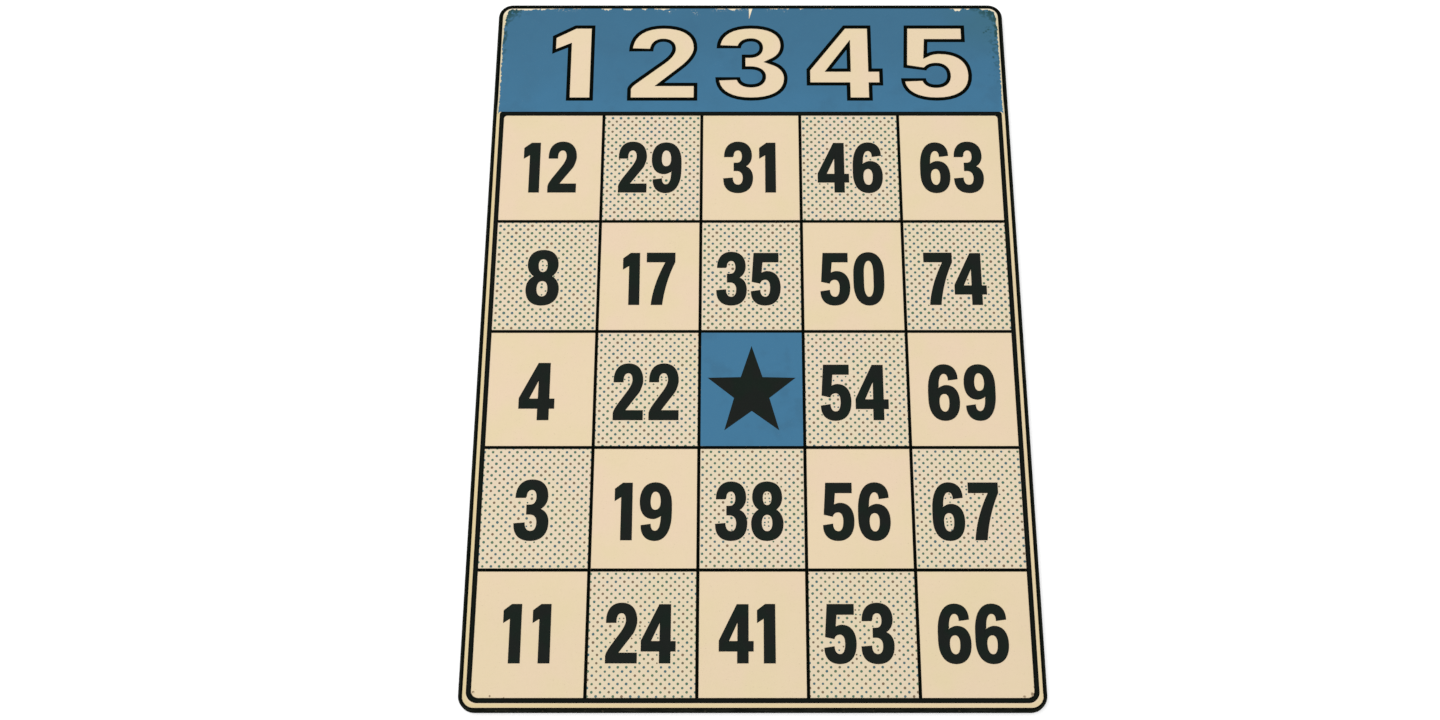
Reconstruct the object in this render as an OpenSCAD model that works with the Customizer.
// Bingo card: a pulp board lined with paper, its face printed with a header band
// and a ruled grid of five by five spaces, the middle one the free space.
// The card lies face up. The origin is at the middle of its back, +Y points
// to the header, +X to the right and +Z up out of the printed face.

/* [Card] */
// Width of the card
card_w = 127; // [100:1:160]
// Length of the card, from its foot to the header's edge
card_l = 177.8; // [150:1:230]
// Radius of the die-cut corners
corner_r = 3.5; // [3:0.1:6]

/* [Board] */
// Thickness of the grey pulp board
core_t = 1.5; // [0.8:0.1:3]
// Thickness of the lining paper on the back
back_paper_t = 0.15; // [0.1:0.05:0.3]
// Thickness of the printed paper on the face
face_paper_t = 0.15; // [0.1:0.05:0.25]
// Radius of the roll that the cutting die presses into the face's edge
edge_roll_r = 0.4; // [0.3:0.05:0.6]
// Thickness of a printed or rolled-on ink film
ink_t = 0.05; // [0.02:0.01:0.08]

/* [Printed frame] */
// Width of the black line along the card's sides and head
border_line_w = 0.95; // [0.7:0.05:1.2]
// Width of the black line along the card's foot
foot_line_w = 0.8; // [0.7:0.05:1.2]
// Width of the bare paper between the edge line and the frame
gutter_w = 0.75; // [0.5:0.05:1.5]
// Extra width of that bare paper at the card's foot
foot_gutter_gain = 0.25; // [0:0.05:1]
// Width of the black frame round the grid
frame_line_w = 1.1; // [0.5:0.1:1.2]
// Outer radius of the frame's two corners at the foot
frame_foot_r = 2.45; // [1.5:0.05:4]
// Inner radius of the frame's two corners at the foot
opening_foot_r = 1.7; // [0.8:0.05:3]
// Outer radius of the frame's two corners under the header
frame_head_r = 0.7; // [0.4:0.1:1.2]
// Inner radius of the frame's two corners under the header
opening_head_r = 0.8; // [0.4:0.1:1.5]

/* [Header] */
// Height of the header, from the card's edge to the top of the frame
header_l = 30.9; // [20:0.1:40]
// Bare paper between the edge line and the top of the blue band
header_gap = 0.25; // [0.1:0.05:0.8]
// Radius of the blue band's two head corners
band_r = 2.7; // [1:0.1:4]

/* [Grid] */
// Number of columns
columns = 5; // [3:1:7]
// Number of rows
rows = 5; // [3:1:7]
// Width of the black rules between the spaces
rule_w = 0.7; // [0.3:0.1:1.2]
// Extra width of the first and the last column
side_column_gain = 0.85; // [0:0.05:3]
// Extra height of the first row
head_row_gain = 0.7; // [0:0.05:3]

/* [Free space] */
// Blue ground left and right of the star's side points
star_side_gap = 1.5; // [0.5:0.05:5]
// Blue ground above the star's top point
star_head_gap = 3.3; // [0.5:0.05:8]
// Blue ground below the star's feet
star_foot_gap = 3.75; // [0.5:0.05:8]
// Points of the star
star_points = 5; // [5:2:9]
// Notch radius of the star as a share of its point radius
star_notch_share = 0.4; // [0.3:0.01:0.6]

/* [Hidden] */
$fn = 96;

// Heights above the back
core_bottom_z = back_paper_t;
core_top_z = core_bottom_z + core_t;
face_z = core_top_z + face_paper_t;
roll_z = face_z - edge_roll_r;

// The ink on the cut edge is part of the card's width
board_inset = ink_t;
flat_inset = board_inset + edge_roll_r;

// Inset of the printed frame from the card's sides
frame_inset = border_line_w + gutter_w;

// The frame runs from the foot gutter up to the header
frame_w = card_w - 2 * frame_inset;
frame_foot_inset = foot_line_w + gutter_w + foot_gutter_gain;
frame_l = card_l - header_l - frame_foot_inset;
frame_y = (frame_foot_inset - header_l) / 2;
opening_w = frame_w - 2 * frame_line_w;
opening_l = frame_l - 2 * frame_line_w;
opening_foot_y = frame_y - opening_l / 2;
opening_head_y = frame_y + opening_l / 2;

// Sizes of the spaces between the rules
column_w = (opening_w - (columns - 1) * rule_w - 2 * side_column_gain) / columns;
row_l = (opening_l - (rows - 1) * rule_w - head_row_gain) / rows;
head_row_l = row_l + head_row_gain;

// The blue band fills the header down to the frame. Its outline runs on past the
// frame's rounded head corners, and is cut along them.
band_tuck = frame_head_r + band_r;
band_outline_l = header_l - border_line_w - header_gap + band_tuck;
band_y = card_l / 2 - border_line_w - header_gap - band_outline_l / 2;

// The free space is the middle one
free_column = floor(columns / 2);
free_row = floor(rows / 2);
free_x = space_x(free_column) + column_w / 2;
free_y = space_y(free_row) + row_l / 2;

// The star fills the free space up to its gaps, and its points lie on an ellipse
star_w = column_w - 2 * star_side_gap;
star_l = row_l - star_head_gap - star_foot_gap;
star_top_y = row_l / 2 - star_head_gap;
star_reach_x = star_w / 2 / sin(90 - 90 / star_points);
star_reach_y = star_l / (1 + cos(180 / star_points));

// Left edge of a column's spaces, counted from 0 at the left
function space_x(i) = -opening_w / 2 + i * (column_w + rule_w) + (i > 0 ? side_column_gain : 0);

// Foot of a row's spaces, counted from 0 under the header
function space_y(i) = opening_head_y - head_row_l - i * (row_l + rule_w);

// Right edge of a column's spaces
function space_end_x(i) = i < columns - 1 ? space_x(i + 1) - rule_w : opening_w / 2;

// A flat plate with its foot and head corners rounded by different radii
module plate_outline(w, l, foot_r, head_r) {
    for (side = [-1, 1]) {
        translate([side * (w / 2 - foot_r), foot_r - l / 2]) circle(foot_r);
        translate([side * (w / 2 - head_r), l / 2 - head_r]) circle(head_r);
    }
    translate([-w / 2, foot_r - l / 2]) square([w, l - foot_r - head_r]);
    translate([foot_r - w / 2, -l / 2]) square([w - 2 * foot_r, foot_r]);
    translate([head_r - w / 2, l / 2 - head_r]) square([w - 2 * head_r, head_r]);
}

// The card's outline, drawn in from its edge
module card_outline(inset) {
    r = corner_r - inset;
    plate_outline(card_w - 2 * inset, card_l - 2 * inset, r, r);
}

// Carries a profile once round the card. The profile's X runs outwards from
// the inset line, and its Y is the height.
module round_the_card(inset) {
    r = corner_r - inset;
    for (turn = [0:3]) {
        run = (turn % 2 == 0 ? card_l : card_w) - 2 * corner_r;
        reach = (turn % 2 == 0 ? card_w : card_l) / 2;
        rotate([0, 0, 90 * turn]) {
            translate([reach - inset, 0, 0])
                rotate([90, 0, 0]) linear_extrude(run, center = true) children();
            translate([reach - corner_r, run / 2, 0])
                rotate_extrude(angle = 90) translate([r, 0]) children();
        }
    }
}

// A quarter of a ring, from straight up to straight out
module quarter_bend(outer_r, t) {
    intersection() {
        difference() {
            circle(outer_r);
            circle(outer_r - t);
        }
        square(outer_r);
    }
}

module back_paper() {
    color("#D9CBA6") linear_extrude(back_paper_t) card_outline(board_inset);
}

// The pulp board stands at full size up to the roll, where its arris is rounded
module core_board() {
    arris_r = edge_roll_r - face_paper_t;
    color("#9A8F7C") {
        translate([0, 0, core_bottom_z])
            linear_extrude(roll_z - core_bottom_z) card_outline(board_inset);
        translate([0, 0, roll_z])
            linear_extrude(core_top_z - roll_z) card_outline(flat_inset);
        translate([0, 0, roll_z]) round_the_card(flat_inset)
            intersection() {
                circle(arris_r);
                square(arris_r);
            }
    }
}

// The face paper lies flat and is pressed down over the arris at its edge
module face_paper() {
    color("#E9D5B3") {
        translate([0, 0, core_top_z]) linear_extrude(face_paper_t) card_outline(flat_inset);
        translate([0, 0, roll_z]) round_the_card(flat_inset)
            quarter_bend(edge_roll_r, face_paper_t);
    }
}

// Black ink rolled onto the cut side and over the pressed edge
module edge_ink() {
    color("#1B1C17") round_the_card(flat_inset) {
        translate([edge_roll_r, 0]) square([ink_t, roll_z]);
        translate([0, roll_z]) quarter_bend(edge_roll_r + ink_t, ink_t);
    }
}

// The paper inside the edge line, whose foot line has its own width
module border_opening() {
    r = corner_r - border_line_w;
    translate([0, (foot_line_w - border_line_w) / 2])
        plate_outline(card_w - 2 * border_line_w, card_l - border_line_w - foot_line_w, r, r);
}

module border_line() {
    color("#1B1C17") translate([0, 0, face_z]) linear_extrude(ink_t)
        difference() {
            card_outline(flat_inset);
            border_opening();
        }
}

module frame_outline() {
    plate_outline(frame_w, frame_l, frame_foot_r, frame_head_r);
}

module frame_line() {
    color("#1E211C") translate([0, frame_y, face_z]) linear_extrude(ink_t)
        difference() {
            frame_outline();
            plate_outline(opening_w, opening_l, opening_foot_r, opening_head_r);
        }
}

// A rule between two columns, from the foot of the frame to its head
module column_rule(i) {
    color("#1E211C") translate([space_x(i) - rule_w, opening_foot_y, face_z])
        cube([rule_w, opening_l, ink_t]);
}

// A rule between two rows, which stops against each rule it meets
module row_rule(i) {
    color("#1E211C")
        for (column = [0:columns - 1])
            translate([space_x(column), space_y(i) + row_l, face_z])
                cube([space_end_x(column) - space_x(column), rule_w, ink_t]);
}

// The blue band ends against the frame, and fills its rounded head corners
module header_band() {
    color("#447594") translate([0, 0, face_z]) linear_extrude(ink_t)
        difference() {
            translate([0, band_y]) plate_outline(frame_w, band_outline_l, band_r, band_r);
            translate([0, frame_y]) frame_outline();
        }
}

module star_outline() {
    polygon([for (i = [0:2 * star_points - 1])
        let (a = 180 * i / star_points, k = i % 2 == 0 ? 1 : star_notch_share)
            [k * star_reach_x * sin(a), star_top_y - star_reach_y * (1 - k * cos(a))]]);
}

// Blue ground of the free space, open under the star
module free_space_ground() {
    color("#447594") translate([free_x, free_y, face_z]) linear_extrude(ink_t)
        difference() {
            square([column_w, row_l], center = true);
            star_outline();
        }
}

module free_space_star() {
    color("#1E211C") translate([free_x, free_y, face_z]) linear_extrude(ink_t) star_outline();
}

back_paper();
core_board();
face_paper();
edge_ink();
border_line();
frame_line();
for (i = [1:columns - 1])
    column_rule(i);
for (i = [1:rows - 1])
    row_rule(i);
header_band();
free_space_ground();
free_space_star();
